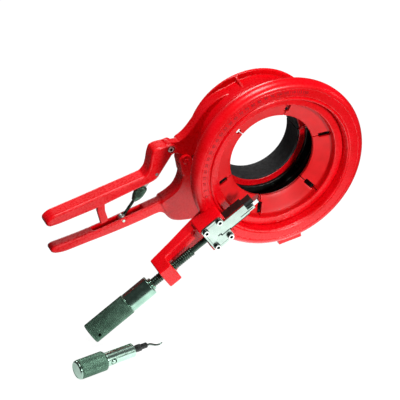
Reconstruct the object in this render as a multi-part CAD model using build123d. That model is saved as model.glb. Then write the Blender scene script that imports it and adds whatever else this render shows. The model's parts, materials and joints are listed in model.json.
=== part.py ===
from build123d import *
import math
import os

# Pipe deburring and bevelling tool for 110 mm plastic pipe, with its loose hand deburrer.
# Millimetres. The pipe's axis is Y and points away from the cutter. The origin is the clamp's centre.
# The cutter arm is drawn along +X, with Z across it, and is then turned to its own angle.

# Castings: arcs on their outlines, and rounded edges
ARC_SHARE = 0.45
SLIGHT_TURN, GENTLE_TURN = 0.6, 32.0
LEVER_EDGE = 3.0
HANDLE_EDGE = 2.6
CAST_EDGE = 1.5

# Clamp jaws
PIPE_R = 55.0
PAD_T = 3.0
JAW_FRONT, JAW_REAR = -17.0, 17.0
JAW_SLEEVE_R = 63.0
JAW_BARREL_R = 84.0
JAW_FLANGE_R = 92.5
JAW_FLANGE_T = 4.0
JAW_WALL = 4.0
JAW_RIB_T = 4.0
PARTING_ANGLE = 6.9
PARTING_GAP = 0.9

# Clamp linkage: pivots as (x, z)
LEVER_PIVOT = (-123.6, 10.6)
LINK_TOP = (-144.6, -22.4)
LINK_BOTTOM = (-191.4, -84.9)
JAW_PIVOT = (-102.6, -12.4)
LEVER_FRONT, LEVER_REAR = -9.0, 13.0
HANDLE_FRONT, HANDLE_REAR = -6.5, 10.5
MID_Y = 2.0
TONGUE_HALF = 6.0
RUN_GAP = 0.3
FIT_GAP = 0.05
PIVOT_R = 4.0
KNUCKLE_R = 9.0
TONGUE_R = 8.2
CHEEK_R = 7.6
LINK_PIN_R = 2.0
LINK_HALF = 4.0
LINK_EYE_R = 5.5
LINK_ROD_R = 2.2
EYE_CLEARANCE = 1.5
NUT_R = 7.9
NUT_START, NUT_LENGTH = 25.0, 24.0
LINK_TILT = math.degrees(math.atan2(LINK_BOTTOM[0] - LINK_TOP[0], LINK_BOTTOM[1] - LINK_TOP[1]))

# Bearing hub, which carries the turning ring
HUB_R = 92.0
HUB_BORE_R = 87.0
HUB_FRONT = -72.0
HUB_SHELF = -61.0
HUB_FLANGE_R = 104.0
HUB_FLANGE_FRONT, HUB_FLANGE_REAR = -51.5, -46.0
NECK_R, NECK_BORE_R = 86.0, 80.0
NECK_REAR = -17.6
RETAINER_R, RETAINER_BORE_R = 94.8, 83.6
RETAINER_FRONT = -75.2
SEGMENT_COUNT = 6
SEGMENT_FIRST = 15.0
SEGMENT_BORE_R = 60.0
SEGMENT_OUTER_R = 86.7
SEGMENT_SLOT = 1.3
NOTCH_W, NOTCH_INNER_R = 6.4, 68.0
HUB_SCREW_PCR = 72.0
HUB_SCREW_ANGLES = (225.0, 285.0, 318.0)

# Turning ring
RING_R = 122.5
RING_WIDEST_Y = -73.5
BAND_FRONT = -84.5
BAND_INNER_R, BAND_OUTER_R = 101.6, 113.0
LIP_R, LIP_FRONT = 96.5, -86.0
RING_BORE_R = HUB_R + FIT_GAP
RING_REAR = -52.0

# Cutter arm, along its own axis: a outward, b across, y as above
ARM_ANGLE = -146.9
ARM_SCREW_PCR = 108.0
ARM_SCREW_ANGLES = (ARM_ANGLE - 7.0, ARM_ANGLE + 7.0)
AXIS_Y = -104.5
BLOCK_A = (100.0, 138.0)
BLOCK_HALF = 20.5
BLOCK_FLOOR = -94.3
PLATE_FRONT, PLATE_REAR = -112.0, -109.1
PLATE_A = (104.0, 136.0)
FINGER_B = (-10.0, 6.0)
FINGER_A = 70.0
TONGUE_B = (0.0, 5.0)
TONGUE_A = 60.0
SCREW_A = (109.0, 131.0)
SCREW_B = 15.0
PLATE_SCREW_R, PLATE_SCREW_HEAD_R, PLATE_SCREW_HEAD_H = 2.5, 4.2, 4.4
BEAM_HALF = 15.0
ELBOW_A = (192.5, 211.5)
ELBOW_FRONT, ELBOW_REAR = -117.0, -83.0
FEED_R = 6.0
BUSH_R = 8.5
SLIDER_HALF = 10.0
SLIDER_FRONT, SLIDER_REAR = -109.0, -94.5
SLIDER_A = (70.0, 136.0)
NOSE_A = 57.0
BLADE_A = (47.0, 78.0)
BLADE_B = (-2.0, 4.0)
BLADE_FRONT, BLADE_REAR = -109.0, -101.0
BLADE_SCREW_A = (72.5, 76.0)
NECK_FEED_R = 4.0
JOURNAL_R = 3.2
JOURNAL_HEAD_R = 4.4
HEAD_POCKET_A = (119.7, 123.8)
SHOULDER_A = 160.0
COLLAR_A = (226.0, 230.0)
KNOB_A = (230.0, 268.0, 331.6)
KNOB_R, KNOB_GRIP_R = 13.5, 14.2
KNOB_HOLE_A, KNOB_HOLE_R = 322.0, 2.5
KNOB_PIN_A, KNOB_PIN_R = 250.0, 1.5

# Foot, a flat rest square to its own direction
FOOT_ANGLE = -80.4
FOOT_DISTANCE = 149.8
FOOT_OFFSET, FOOT_HALF = 8.3, 16.8
FOOT_T = 9.0
FOOT_FRONT = -50.0

# Hand deburrer, lying beside the tool: along its own +X from the cap's outer end
DEBURRER_AT = (-322.9, -173.6, -181.0)
DEBURRER_YAW = 10.0
GRIP_R, GRIP_LENGTH = 13.0, 41.0
SHANK_R, SHANK_LENGTH = 9.5, 43.0
CAP_T = 3.0
HOLDER_R, HOLDER_NOSE_R, HOLDER_LENGTH = 5.0, 3.8, 21.5
HAND_BLADE_R = 1.6
BUTTON_X, BUTTON_R = 50.5, 4.2


# ---------- shapes used throughout ----------

def plate(points, low_y, high_y):
    """A plate with its outline in X and Z, from low_y to high_y."""
    face = make_face(Plane.XZ * Polyline(*points, close=True))
    return Pos(0, low_y, 0) * extrude(face, amount=high_y - low_y, dir=(0, 1, 0))


def corner_radii(points, corner):
    """Arc radius at each point of a closed outline: as large as fits on a gentle bend, at most corner on a sharp one."""
    radii = []
    for index, here in enumerate(points):
        before, after = points[index - 1], points[(index + 1) % len(points)]
        incoming = Vector(here) - Vector(before)
        outgoing = Vector(after) - Vector(here)
        turn = max(incoming.get_angle(outgoing), SLIGHT_TURN)
        reach = ARC_SHARE * min(incoming.length, outgoing.length)
        largest = reach / math.tan(math.radians(turn / 2))
        if turn == SLIGHT_TURN:
            radii.append(0)
        else:
            radii.append(largest if turn < GENTLE_TURN else min(corner, largest))
    return radii


def cast_plate(points, low_y, high_y, corner, edge=0.0):
    """A plate whose outline is smoothed by arcs, with its front and rear edges rounded."""
    outline = FilletPolyline(*points, radius=corner_radii(points, corner), close=True)
    face = make_face(Plane.XZ * outline)
    body = Pos(0, low_y, 0) * extrude(face, amount=high_y - low_y, dir=(0, 1, 0))
    if edge > 0:
        layers = body.edges().group_by(Axis.Y)
        body = fillet(layers[0] + layers[-1], edge)
    return body


def slab(points, low_z, high_z):
    """A plate with its outline in X and Y, from low_z to high_z."""
    face = make_face(Polyline(*points, close=True))
    return Pos(0, 0, low_z) * extrude(face, amount=high_z - low_z, dir=(0, 0, 1))


def ring(profile):
    """A turned ring about the Y axis, from (radius, y) points."""
    return revolve(make_face(Polyline(*profile, close=True)), Axis.Y)


def ring_sector(profile, low_angle, high_angle):
    """Part of a turned ring, between two angles counted from +X towards +Z."""
    turned = revolve(make_face(Polyline(*profile, close=True)), Axis.Y, high_angle - low_angle)
    return Rot(0, -high_angle, 0) * turned


def rod_y(centre, radius, low_y, high_y):
    """A round bar along Y about the point centre = (x, z)."""
    bar = Rot(90, 0, 0) * Cylinder(radius, high_y - low_y)
    return Pos(centre[0], (low_y + high_y) / 2, centre[1]) * bar


def rod_x(radius, low_x, high_x, y=0.0, z=0.0):
    """A round bar along X."""
    bar = Rot(0, 90, 0) * Cylinder(radius, high_x - low_x)
    return Pos((low_x + high_x) / 2, y, z) * bar


def block(x_range, y_range, z_range):
    """A box between two limits on each axis."""
    sizes = [high - low for low, high in (x_range, y_range, z_range)]
    middle = [(high + low) / 2 for low, high in (x_range, y_range, z_range)]
    return Pos(*middle) * Box(*sizes)


def on_arm(shape):
    """Turns a shape drawn along +X to the cutter arm's own direction."""
    return Rot(0, -ARM_ANGLE, 0) * shape


def cap_screw(head_r, head_h, shank_r, shank_l, socket):
    """A socket head screw along +Z, with the underside of its head at zero."""
    head = Pos(0, 0, head_h / 2) * Cylinder(head_r, head_h)
    head = chamfer(head.edges().group_by(Axis.Z)[-1], head_h * 0.12)
    recess = extrude(RegularPolygon(socket / 2, 6, major_radius=False), amount=head_h * 0.55)
    shank = Pos(0, 0, -shank_l / 2) * Cylinder(shank_r, shank_l)
    return head + shank - Pos(0, 0, head_h * 0.45) * recess


def polar(radius, angle):
    """The (x, z) point at a radius and an angle counted from +X towards +Z."""
    return radius * math.cos(math.radians(angle)), radius * math.sin(math.radians(angle))


def along_link(distance, side=0.0):
    """A point on the link's line, at a distance from its top pin, and to one side of the line."""
    dx, dz = LINK_BOTTOM[0] - LINK_TOP[0], LINK_BOTTOM[1] - LINK_TOP[1]
    length = math.hypot(dx, dz)
    return (LINK_TOP[0] + dx / length * distance - dz / length * side,
            LINK_TOP[1] + dz / length * distance + dx / length * side)


# ---------- clamp jaws ----------

def jaw_shell(low_angle, high_angle):
    """Sleeve, barrel, web and rear flange of one jaw."""
    bore = PIPE_R + PAD_T
    web_front = JAW_FRONT + JAW_WALL
    profile = [(bore, JAW_FRONT), (JAW_BARREL_R, JAW_FRONT), (JAW_BARREL_R, JAW_REAR - JAW_FLANGE_T),
               (JAW_FLANGE_R, JAW_REAR - JAW_FLANGE_T), (JAW_FLANGE_R, JAW_REAR),
               (JAW_BARREL_R - JAW_WALL, JAW_REAR), (JAW_BARREL_R - JAW_WALL, web_front),
               (JAW_SLEEVE_R, web_front), (JAW_SLEEVE_R, JAW_REAR), (bore, JAW_REAR)]
    return ring_sector(profile, low_angle, high_angle)


def jaw_ribs(angles):
    """Radial ribs between a jaw's sleeve and its barrel, as a list."""
    low, high = JAW_SLEEVE_R - 1, JAW_BARREL_R - 1
    rib = block((low, high), (JAW_FRONT + 1, JAW_REAR - 3), (-JAW_RIB_T / 2, JAW_RIB_T / 2))
    return [Rot(0, -angle, 0) * rib for angle in angles]


def jaw_gussets(angles):
    """Small ribs outside a jaw's barrel, in front of its flange."""
    points = [(JAW_BARREL_R - 1, JAW_REAR - JAW_FLANGE_T + 1), (JAW_FLANGE_R - 2, JAW_REAR - JAW_FLANGE_T + 1),
              (JAW_BARREL_R - 1, JAW_FRONT + 6)]
    rib = slab(points, -JAW_RIB_T / 2, JAW_RIB_T / 2)
    return [Rot(0, -angle, 0) * rib for angle in angles]


def upper_limits():
    return PARTING_ANGLE + PARTING_GAP, 180 + PARTING_ANGLE - PARTING_GAP / 2


def lower_limits():
    return 180 + PARTING_ANGLE + PARTING_GAP / 2, 360 + PARTING_ANGLE - PARTING_GAP


def make_upper_jaw():
    """Opening half of the clamp, with the lug that the lever pulls on."""
    jaw = jaw_shell(*upper_limits())
    for rib in jaw_ribs([30, 60, 90, 120, 150]) + jaw_gussets([104]):
        jaw += rib
    tongue_y = (MID_Y - TONGUE_HALF, MID_Y + TONGUE_HALF)
    arm = [(-112, 18), (-104, 22), (-96, 29), (-87.5, 39.5), (-79, 51), (-67.5, 62.5), (-53, 71), (-38, 75.5)]
    arm += [(-32, 70), (-50, 58), (-76, 20), (-83, -6), (-93, -8), (-103, -4), (-112, -1)]
    jaw += cast_plate(arm, tongue_y[0], LEVER_REAR, 5.0, CAST_EDGE)
    neck = [(-124, 18.6), (-111, 18), (-104, 21), (-100, -6), (-112, -1), (-119, 3.4)]
    jaw += plate(neck, *tongue_y) + rod_y(LEVER_PIVOT, TONGUE_R, *tongue_y)
    jaw += rod_y(JAW_PIVOT, KNUCKLE_R, *tongue_y)
    jaw += plate([(-108, -6), (-92, -6), (-94, -16), (-102, -12)], *tongue_y)
    for low_y, high_y in ((LEVER_FRONT - 1, tongue_y[0]), (tongue_y[1], LEVER_REAR + 1)):
        jaw -= rod_y(JAW_PIVOT, KNUCKLE_R + 0.8, low_y, high_y)
        jaw -= rod_y(LEVER_PIVOT, CHEEK_R + 2.4, low_y, high_y)
    jaw -= ring([(0, JAW_FRONT - 1), (PIPE_R + PAD_T, JAW_FRONT - 1), (PIPE_R + PAD_T, JAW_REAR + 1), (0, JAW_REAR + 1)])
    jaw -= rod_y(LEVER_PIVOT, PIVOT_R + FIT_GAP, LEVER_FRONT, LEVER_REAR)
    jaw -= rod_y(JAW_PIVOT, PIVOT_R + FIT_GAP, LEVER_FRONT, LEVER_REAR)
    return jaw


def handle_outline():
    """Lower grip and its root: tip, underside, bulge, sweep to the foot leg, and the side next to the jaw pivot."""
    tip = [(-290, -102), (-295, -105), (-294, -110), (-288, -112.5), (-276, -113)]
    underside = [(-240, -106), (-211, -101), (-183, -95), (-160, -89.5), (-146, -85.5), (-139, -84.5), (-133, -87.5)]
    bulge = [(-128, -95), (-122, -101), (-112, -104.5), (-96, -106.5), (-78, -106), (-58, -101), (-40, -94)]
    inside = [(-50, -68), (-80, -30), (-88, -12)]
    root = [(-97, -22), (-106, -22), (-107, -34), (-110, -45), (-116, -55), (-128, -63)]
    upper = [(-140, -67.5), (-161, -73), (-190, -80.5), (-218, -88), (-246, -94.5), (-275, -99.5)]
    return tip + underside + bulge + inside + root + upper


def make_foot():
    """Leg and flat pad that keep the turning ring off a bench, drawn along -Z and then turned."""
    side = (FOOT_OFFSET - FOOT_HALF, FOOT_OFFSET + FOOT_HALF)
    inner = JAW_BARREL_R - 6
    top = -FOOT_DISTANCE + FOOT_T
    pad = block(side, (FOOT_FRONT, JAW_REAR - 2), (-FOOT_DISTANCE, top))
    leg = block((side[0] + 5, side[1] - 5), (JAW_FRONT + 1, JAW_REAR - 6), (top - 1, -inner))
    web = [(FOOT_OFFSET - 3, FOOT_FRONT + 4, top - 1), (FOOT_OFFSET - 3, JAW_FRONT + 2, top - 1),
           (FOOT_OFFSET - 3, JAW_FRONT + 2, -JAW_BARREL_R - 8)]
    rib = extrude(make_face(Polyline(*web, close=True)), amount=6, dir=(1, 0, 0))
    return Rot(0, -(FOOT_ANGLE + 90), 0) * (pad + leg + rib)


def make_lower_jaw():
    """Fixed half of the clamp, with the lower grip, the jaw pivot's ears and the foot."""
    jaw = jaw_shell(*lower_limits())
    for rib in jaw_ribs([210, 240, 270, 300, 330, 355]):
        jaw += rib
    jaw += cast_plate(handle_outline(), HANDLE_FRONT, HANDLE_REAR, 6.0, HANDLE_EDGE)
    root = [(-140, -67), (-128, -62.5), (-116, -54.5), (-110, -44.5), (-107, -34), (-106, -20), (-92, -12.6),
            (-85, -12), (-70, -55), (-48, -78), (-44, -92), (-60, -99), (-80, -104), (-98, -104), (-113, -102),
            (-122, -98), (-129, -90)]
    jaw += cast_plate(root, LEVER_FRONT, LEVER_REAR, 6.0, CAST_EDGE)
    jaw += make_foot()
    tongue_y = (MID_Y - TONGUE_HALF - RUN_GAP, MID_Y + TONGUE_HALF + RUN_GAP)
    jaw += rod_y(JAW_PIVOT, KNUCKLE_R, LEVER_FRONT, LEVER_REAR)
    jaw += plate([(-111.4, -12.4), (-108, -32), (-94, -32), (-94, -14)], LEVER_FRONT, LEVER_REAR)
    jaw -= rod_y(JAW_PIVOT, KNUCKLE_R + 1, *tongue_y)
    jaw -= plate([(-116, 4), (-70, 4), (-82, -11.2), (-93.5, -14.5), (-94, -19), (-103, -21), (-112, -14)], *tongue_y)
    channel = [(-234, -86), (-234, -100.5), (-211, -96.5), (-183, -90.5), (-166, -86), (-158, -60)]
    jaw -= plate(channel, MID_Y - LINK_HALF - 1, MID_Y + LINK_HALF + 1)
    jaw -= ring([(0, JAW_FRONT - 1), (PIPE_R + PAD_T, JAW_FRONT - 1), (PIPE_R + PAD_T, JAW_REAR + 1), (0, JAW_REAR + 1)])
    jaw -= rod_y(JAW_PIVOT, PIVOT_R, LEVER_FRONT - 1, LEVER_REAR + 1)
    jaw -= rod_y(LINK_BOTTOM, LINK_PIN_R, HANDLE_FRONT - 1, HANDLE_REAR + 1)
    for angle in HUB_SCREW_ANGLES:
        jaw -= rod_y(polar(HUB_SCREW_PCR, angle), 3.0, JAW_FRONT - 1, JAW_REAR + 1)
        jaw -= rod_y(polar(HUB_SCREW_PCR, angle), 5.6, JAW_FRONT + JAW_WALL, JAW_REAR + 1)
    return jaw


def make_pad(limits):
    """Soft grip liner of one jaw."""
    profile = [(PIPE_R, JAW_FRONT), (PIPE_R + PAD_T, JAW_FRONT), (PIPE_R + PAD_T, JAW_REAR), (PIPE_R, JAW_REAR)]
    return ring_sector(profile, *limits)


# ---------- clamp lever and link ----------

def make_lever():
    """Upper grip: a channel, open below, with two cheeks about its pivot."""
    tip = [(-291, -52.5), (-297, -56), (-300.5, -60), (-300, -65.5), (-295, -68), (-282, -66.5)]
    lower = [(-254, -60.5), (-226, -54.5), (-197, -46), (-169, -38), (-152, -33.5), (-146, -31), (-142, -27.5)]
    upper = [(-124, 18), (-142, 17.6), (-149, 14.5), (-152, 6), (-154, -7), (-156.5, -15.5), (-162, -21.5),
             (-188, -28), (-216, -34.5), (-244, -41.5), (-272, -48)]
    outline = tip + lower + [(-121, 3.5), LEVER_PIVOT] + upper
    lever = cast_plate(outline, LEVER_FRONT, LEVER_REAR, 5.0, LEVER_EDGE)
    lever += rod_y(LEVER_PIVOT, CHEEK_R, LEVER_FRONT, LEVER_REAR)
    inner_y = (MID_Y - TONGUE_HALF - RUN_GAP, MID_Y + TONGUE_HALF + RUN_GAP)
    hollow = [(-289, -56), (-272, -52.5), (-244, -46), (-216, -39), (-188, -32.5), (-163, -26.5), (-152.5, -20),
              (-149.5, -8), (-147.5, 3), (-143, 8.5), (-132, 11), (-112, 3), (-135, -36), (-152, -42),
              (-197, -54), (-254, -68), (-289, -76)]
    lever -= plate(hollow, *inner_y)
    lever -= rod_y(LEVER_PIVOT, TONGUE_R + 1, *inner_y)
    lever -= rod_y(LEVER_PIVOT, PIVOT_R + FIT_GAP, LEVER_FRONT - 1, LEVER_REAR + 1)
    lever -= rod_y(LEVER_PIVOT, PIVOT_R + 1.2, LEVER_FRONT - 1, LEVER_FRONT + 1.5)
    lever -= rod_y(LINK_TOP, LINK_PIN_R, LEVER_FRONT - 1, LEVER_REAR + 1)
    return lever


def make_lever_stop():
    """Post hanging in the lever's channel, which stops the lever on the lower grip."""
    post = [(-227, -41.75), (-216, -39), (-215.5, -66), (-211, -82), (-221.5, -85.5), (-226, -66)]
    return plate(post, MID_Y - 3.5, MID_Y + 3.5)


def link_bar(radius, near, far):
    """A round bar along the link's line, between two distances from its top pin."""
    middle = along_link((near + far) / 2)
    return Pos(middle[0], MID_Y, middle[1]) * Rot(0, LINK_TILT, 0) * Cylinder(radius, far - near)


def make_link_rod():
    """Lower half of the link: eye for the lower pin and the screw that enters the nut."""
    total = math.dist(LINK_TOP, LINK_BOTTOM)
    rod = rod_y(LINK_BOTTOM, 4.5, MID_Y - LINK_HALF, MID_Y + LINK_HALF)
    rod += link_bar(LINK_ROD_R, NUT_START + NUT_LENGTH / 2, total - 2)
    return rod - rod_y(LINK_BOTTOM, LINK_PIN_R + FIT_GAP, MID_Y - LINK_HALF - 1, MID_Y + LINK_HALF + 1)


def make_link_eye():
    """Upper half of the link: an eye with play for the upper pin, and the screw that enters the nut."""
    eye = rod_y(LINK_TOP, LINK_EYE_R, MID_Y - LINK_HALF, MID_Y + LINK_HALF)
    stem_end = NUT_START - 1.5
    stem = plate([along_link(0, -4), along_link(stem_end, -3), along_link(stem_end, 3), along_link(0, 4)],
                 MID_Y - 3, MID_Y + 3)
    screw = link_bar(LINK_ROD_R, stem_end - 1, NUT_START + NUT_LENGTH / 2 - 2)
    hole = rod_y(LINK_TOP, LINK_PIN_R + EYE_CLEARANCE, MID_Y - LINK_HALF - 1, MID_Y + LINK_HALF + 1)
    return eye + stem + screw - hole


def make_adjuster_nut():
    """Knurled adjusting nut, tapered at its lower end."""
    taper_start = NUT_LENGTH * 0.55
    profile = [(0, 0), (NUT_R - 1, 0), (NUT_R, 1), (NUT_R, taper_start), (NUT_R - 1.5, taper_start + 5),
               (LINK_ROD_R + 1, NUT_LENGTH), (0, NUT_LENGTH)]
    nut = revolve(make_face(Plane.XZ * Polyline(*profile, close=True)), Axis.Z)
    nut -= Cylinder(LINK_ROD_R + FIT_GAP, 3 * NUT_LENGTH)
    start = along_link(NUT_START)
    return Pos(start[0], MID_Y, start[1]) * Rot(0, LINK_TILT, 0) * nut


def make_lever_pin():
    return rod_y(LEVER_PIVOT, PIVOT_R, LEVER_FRONT + 1.5, LEVER_REAR)


def make_jaw_pin():
    return rod_y(JAW_PIVOT, PIVOT_R, LEVER_FRONT - 0.5, LEVER_REAR + 0.5)


def make_link_pins():
    upper = rod_y(LINK_TOP, LINK_PIN_R, LEVER_FRONT, LEVER_REAR)
    lower = rod_y(LINK_BOTTOM, LINK_PIN_R, HANDLE_FRONT, HANDLE_REAR)
    return upper, lower


# ---------- bearing hub, retainer and guide segments ----------

def make_hub():
    """Fixed sleeve that the ring turns on, with its thrust flange and the neck back to the lower jaw."""
    hub = ring([(NECK_BORE_R, NECK_REAR), (NECK_R, NECK_REAR), (NECK_R, HUB_FLANGE_REAR),
                (HUB_FLANGE_R, HUB_FLANGE_REAR), (HUB_FLANGE_R, HUB_FLANGE_FRONT), (HUB_R, HUB_FLANGE_FRONT),
                (HUB_R, HUB_FRONT), (HUB_BORE_R, HUB_FRONT), (HUB_BORE_R, HUB_SHELF), (NECK_BORE_R, HUB_SHELF)])
    foot = [(66, JAW_FRONT), (NECK_R - 1, JAW_FRONT), (NECK_R - 1, NECK_REAR - 8), (NECK_BORE_R - 1, NECK_REAR - 8),
            (NECK_BORE_R - 1, NECK_REAR - 4), (66, NECK_REAR - 4)]
    low, high = lower_limits()
    hub += ring_sector(foot, low, high)
    for angle in HUB_SCREW_ANGLES:
        hub -= rod_y(polar(HUB_SCREW_PCR, angle), 2.5, NECK_REAR - 6, JAW_FRONT + 1)
    return hub


def make_hub_screws():
    screw = Rot(-90, 0, 0) * cap_screw(5.0, 6.0, 2.5, 8.4, 5.0)
    screws = []
    for angle in HUB_SCREW_ANGLES:
        x, z = polar(HUB_SCREW_PCR, angle)
        screws.append(Pos(x, JAW_FRONT + JAW_WALL, z) * screw)
    return Compound(children=screws)


def make_retainer():
    """Threaded ring that keeps the turning ring and the guide segments on the hub."""
    front = RETAINER_FRONT
    rear = HUB_FRONT - 0.2
    return ring([(RETAINER_BORE_R, front + 1), (RETAINER_BORE_R + 1, front), (RETAINER_R - 1, front),
                 (RETAINER_R, front + 1), (RETAINER_R, rear), (RETAINER_BORE_R, rear)])


def make_guide_segment(index):
    """One of six guide plates around the pipe, with half of a keyhole slot at each end."""
    profile = [(SEGMENT_OUTER_R, HUB_FRONT), (SEGMENT_OUTER_R, HUB_SHELF - FIT_GAP), (79.5, HUB_SHELF - FIT_GAP),
               (SEGMENT_BORE_R, -53.0), (SEGMENT_BORE_R, -57.0), (82.5, -65.0), (83.7, -67.0), (83.7, HUB_FRONT)]
    step = 360 / SEGMENT_COUNT
    low = SEGMENT_FIRST + index * step
    segment = ring_sector(profile, low, low + step)
    for angle in (low, low + step):
        slot = block((SEGMENT_BORE_R - 5, SEGMENT_OUTER_R + 5), (HUB_FRONT - 1, -50), (-SEGMENT_SLOT / 2, SEGMENT_SLOT / 2))
        notch = block((NOTCH_INNER_R, 83.0), (HUB_FRONT - 1, -50), (-NOTCH_W / 2, NOTCH_W / 2))
        segment -= Rot(0, -angle, 0) * (slot + notch)
    return segment


# ---------- turning ring ----------

def ring_outline():
    """Front of the turning ring's section, from its bore round the lip, band and rounded rim to its rear."""
    groove = [(LIP_R, LIP_FRONT + 1.5), (LIP_R + 1, LIP_FRONT), (BAND_INNER_R - 2.2, LIP_FRONT),
              (BAND_INNER_R - 1.2, BAND_FRONT + 1.2), (BAND_INNER_R, BAND_FRONT)]
    rim = []
    steps = 8
    rise, depth = RING_R - BAND_OUTER_R, RING_WIDEST_Y - BAND_FRONT
    for step in range(steps + 1):
        turn = math.radians(90 * step / steps)
        rim.append((BAND_OUTER_R + rise * math.sin(turn), RING_WIDEST_Y - depth * math.cos(turn)))
    back = [(RING_R - 0.6, -69.5), (RING_R - 3, -66), (RING_R - 8, -62.5), (104.5, -55), (100, RING_REAR)]
    bowl = [(RING_BORE_R, RING_REAR), (RING_BORE_R, HUB_FRONT + 0.2), (RETAINER_R + 0.4, HUB_FRONT + 0.2)]
    return bowl + groove + rim + back


def make_ring():
    """Turning ring: a dished hand ring, hollow at the back."""
    body = ring(ring_outline())
    pocket = [(101, -48), (101, -76), (104, -80), (112, -80), (116.5, -76.5), (118.5, -72), (117, -68.5), (104, -60.5),
              (104, -48)]
    body -= ring(pocket)
    for angle in ARM_SCREW_ANGLES:
        body -= rod_y(polar(ARM_SCREW_PCR, angle), 3.1, BAND_FRONT - 3, -70)
    return body


# ---------- cutter arm ----------

def make_cutter_arm():
    """Guide block, beam and elbow in one casting, seated on the ring's front."""
    beam_points = [(ELBOW_A[1] - 1, ELBOW_REAR), (176, -77.5), (148, -72), (118, -67), (108, -79), (108, -92),
                   (137, -92), (142, -90.5), (187, -96), (ELBOW_A[0] + 1, -99)]
    arm = slab(beam_points, -BEAM_HALF, BEAM_HALF)
    arm = fillet(arm.edges().filter_by(lambda e: abs(e.center().Z) > BEAM_HALF - 1), 1.6)
    elbow = block(ELBOW_A, (ELBOW_FRONT, ELBOW_REAR), (-BEAM_HALF, BEAM_HALF))
    arm += fillet(elbow.edges(), 1.6)
    root = block(BLOCK_A, (PLATE_REAR, -80.0), (-BLOCK_HALF, BLOCK_HALF))
    arm += fillet(root.edges().filter_by(Axis.Y), 2.0)
    arm -= block((BLOCK_A[0] - 1, BLOCK_A[1] + 1), (PLATE_REAR - 1, BLOCK_FLOOR),
                 (-SLIDER_HALF - 0.1, SLIDER_HALF + 0.1))
    for index in range(5):
        start = 141.5 + index * 4
        arm += block((start, start + 1.8), (-94.0, -88.0), (8.5, 13.5))
    arm -= rod_x(BUSH_R, ELBOW_A[0] - 5, ELBOW_A[1] + 5, AXIS_Y)
    for a in SCREW_A:
        for b in (-SCREW_B, SCREW_B):
            arm -= Pos(a, -104.1, b) * Rot(90, 0, 0) * Cylinder(PLATE_SCREW_R, 10.1)
    arm = on_arm(arm)
    blank = [(80, -45)] + ring_outline()[2:-1] + [(100, -45)]
    arm -= ring(blank)
    for angle in ARM_SCREW_ANGLES:
        arm -= rod_y(polar(ARM_SCREW_PCR, angle), 2.5, -94.0, BAND_FRONT + 1)
    return arm


def make_arm_screws():
    screw = Rot(-90, 0, 0) * cap_screw(3.8, 4.6, 2.5, 12.0, 4.0)
    screws = []
    for angle in ARM_SCREW_ANGLES:
        x, z = polar(ARM_SCREW_PCR, angle)
        screws.append(Pos(x, -80.0, z) * screw)
    return Compound(children=screws)


def make_feed_bush():
    sleeve = rod_x(BUSH_R, ELBOW_A[0], ELBOW_A[1], AXIS_Y)
    return on_arm(sleeve - rod_x(FEED_R + FIT_GAP, ELBOW_A[0] - 1, ELBOW_A[1] + 1, AXIS_Y))


def make_cover_plate():
    """Plate over the slider, with its finger, tongue and relief slit."""
    low, high = PLATE_A
    plate_y = (PLATE_FRONT, PLATE_REAR)
    cover = block((low, high), plate_y, (-BLOCK_HALF, BLOCK_HALF))
    cover = chamfer(cover.edges().filter_by(Axis.Y), 2.5)
    cover += block((FINGER_A, low + 4), plate_y, FINGER_B)
    cover += block((TONGUE_A, FINGER_A + 4), plate_y, TONGUE_B)
    cover -= block((low - 2, 117.0), (PLATE_FRONT - 1, PLATE_REAR + 1), (5.0, 6.2))
    cover -= block((116.0, 121.0), (PLATE_FRONT - 1, PLATE_REAR + 1), (2.0, 3.2))
    cover -= block((116.0, 117.2), (PLATE_FRONT - 1, PLATE_REAR + 1), (2.0, 6.2))
    cover -= block((TONGUE_A + 3, FINGER_A + 13), (PLATE_FRONT - 1, PLATE_FRONT + 0.8), (1.9, 2.7))
    for a in SCREW_A:
        for b in (-SCREW_B, SCREW_B):
            cover -= Pos(a, (PLATE_FRONT + PLATE_REAR) / 2, b) * Rot(90, 0, 0) * Cylinder(PLATE_SCREW_R + 0.2, 5)
    return on_arm(cover)


def make_plate_screws():
    screw = Rot(90, 0, 0) * cap_screw(PLATE_SCREW_HEAD_R, PLATE_SCREW_HEAD_H, PLATE_SCREW_R, 10.0, 4.0)
    screws = []
    for a in SCREW_A:
        for b in (-SCREW_B, SCREW_B):
            screws.append(on_arm(Pos(a, PLATE_FRONT, b) * screw))
    return Compound(children=screws)


# ---------- sliding cutter and its feed ----------

def make_tool_slide():
    """Slider under the cover plate, with the nose that holds the blade."""
    slider_y = (SLIDER_FRONT, SLIDER_REAR)
    slide = block(SLIDER_A, slider_y, (-SLIDER_HALF, SLIDER_HALF))
    slide += block((NOSE_A, SLIDER_A[0] + 2), (SLIDER_FRONT + 1, SLIDER_REAR - 2), (-8.0, BLADE_B[0]))
    slide -= block((SLIDER_A[0] - 1, BLADE_A[1]), (SLIDER_FRONT - 1, BLADE_REAR), BLADE_B)
    slide -= rod_x(JOURNAL_R + FIT_GAP, HEAD_POCKET_A[0], SLIDER_A[1] + 1, AXIS_Y)
    slide -= block(HEAD_POCKET_A, (SLIDER_FRONT - 1, AXIS_Y + 4.8), (-4.8, 4.8))
    slide -= block((HEAD_POCKET_A[1] - 1, SLIDER_A[1] + 1), (SLIDER_FRONT - 1, AXIS_Y),
                   (-JOURNAL_R - FIT_GAP, JOURNAL_R + FIT_GAP))
    for a in BLADE_SCREW_A:
        slide -= Pos(a, -105.0, 7.5) * Cylinder(1.5, 7.2)
    return on_arm(slide)


def make_blade():
    """Flat cutter with a raked edge."""
    low, high = BLADE_A
    points = [(low, BLADE_REAR - 1.5), (low + 5, BLADE_FRONT), (high, BLADE_FRONT), (high, BLADE_REAR),
              (low + 1.5, BLADE_REAR)]
    return on_arm(slab(points, *BLADE_B))


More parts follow.
